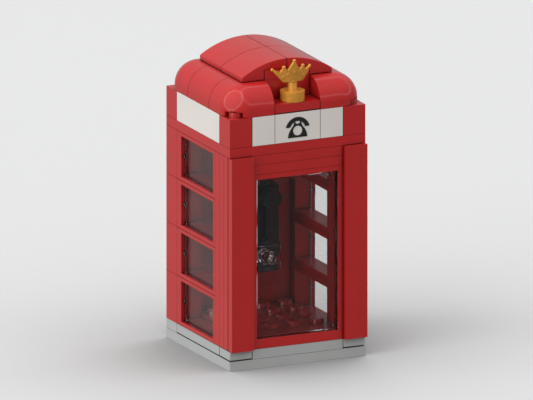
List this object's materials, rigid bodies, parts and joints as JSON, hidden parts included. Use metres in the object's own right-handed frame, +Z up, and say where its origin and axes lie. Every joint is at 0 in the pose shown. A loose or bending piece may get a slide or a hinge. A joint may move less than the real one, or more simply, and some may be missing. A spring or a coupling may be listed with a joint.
{
  "type": "telephone booth",
  "caption": "Small toy telephone booth of interlocking bricks with glazed side windows, an opening clear door, a wall telephone inside, and a domed roof with a crown.",
  "frame": {"origin": "centre of the base plate's underside, on the axis of its middle tube", "axes": "+Z up, front with the door towards -Y, door hinge towards +X"},
  "size_m": [0.0478, 0.0496, 0.1001],
  "materials": {
    "red_plastic": "gloss",
    "grey_plastic": "gloss",
    "white_plastic": "gloss",
    "black_plastic": "gloss",
    "gold_plastic": "pearl gloss",
    "clear_plastic": "clear gloss",
    "black_print": "gloss ink"
  },
  "bodies": {
    "booth": {"base_plate": "grey_plastic", "inner_base_plate": "grey_plastic", "front_step_plate": "grey_plastic", "rear_step_plate": "grey_plastic", "side_step_tiles": "grey_plastic", "front_corner_tiles": "grey_plastic", "rear_corner_plates": "grey_plastic", "floor_plate": "red_plastic", "left_window_1": "red_plastic", "left_window_2": "red_plastic", "left_window_3": "red_plastic", "left_window_4": "red_plastic", "right_window_1": "red_plastic", "right_window_2": "red_plastic", "right_window_3": "red_plastic", "right_window_4": "red_plastic", "left_rear_column": "red_plastic", "right_rear_column": "red_plastic", "left_pillar_plates": "red_plastic", "right_pillar_plates": "red_plastic", "left_pillar_tile": "red_plastic", "right_pillar_tile": "red_plastic", "door_frame": "red_plastic", "lintel_plates": "red_plastic", "lower_back_wall": "red_plastic", "phone_wall_brick": "red_plastic", "upper_back_wall": "red_plastic", "ceiling_plate": "red_plastic", "fascia_corner_bricks": "red_plastic", "front_left_dome": "red_plastic", "front_right_dome": "red_plastic", "rear_left_dome": "red_plastic", "rear_right_dome": "red_plastic", "left_roof_curve": "red_plastic", "right_roof_curve": "red_plastic", "rear_roof_curve": "red_plastic", "roof_core": "red_plastic", "crown_plate": "red_plastic", "arch_plate": "red_plastic", "left_arch_slopes": "red_plastic", "right_arch_slopes": "red_plastic", "left_pane_1": "clear_plastic", "left_pane_2": "clear_plastic", "left_pane_3": "clear_plastic", "left_pane_4": "clear_plastic", "right_pane_1": "clear_plastic", "right_pane_2": "clear_plastic", "right_pane_3": "clear_plastic", "right_pane_4": "clear_plastic", "phone_plates": "black_plastic", "phone_lower_brick": "black_plastic", "phone_upper_brick": "black_plastic", "fascia_end_bricks": "white_plastic", "sign_brick": "white_plastic", "fascia_long_bricks": "white_plastic", "crown_holder": "gold_plastic", "phone_sign": "black_print"},
    "door": {"door": "clear_plastic"},
    "handset": {"handset": "black_plastic"},
    "crown": {"crown": "gold_plastic"}
  },
  "joints": [
    {"name": "door_hinge", "type": "hinge", "parent": "booth", "child": "door", "pos_m": [0.0132, -0.02245, 0.036], "axis": [0, 0, 1], "range_deg": [0, 90]},
    {"name": "handset_pull", "type": "slide", "parent": "booth", "child": "handset", "axis": [0, -1, 0], "range_m": [0, 0.01]},
    {"name": "crown_turn", "type": "hinge", "parent": "booth", "child": "crown", "pos_m": [0, -0.02, 0.0928], "axis": [0, 0, 1], "range_deg": [-18, 18]}
  ]
}
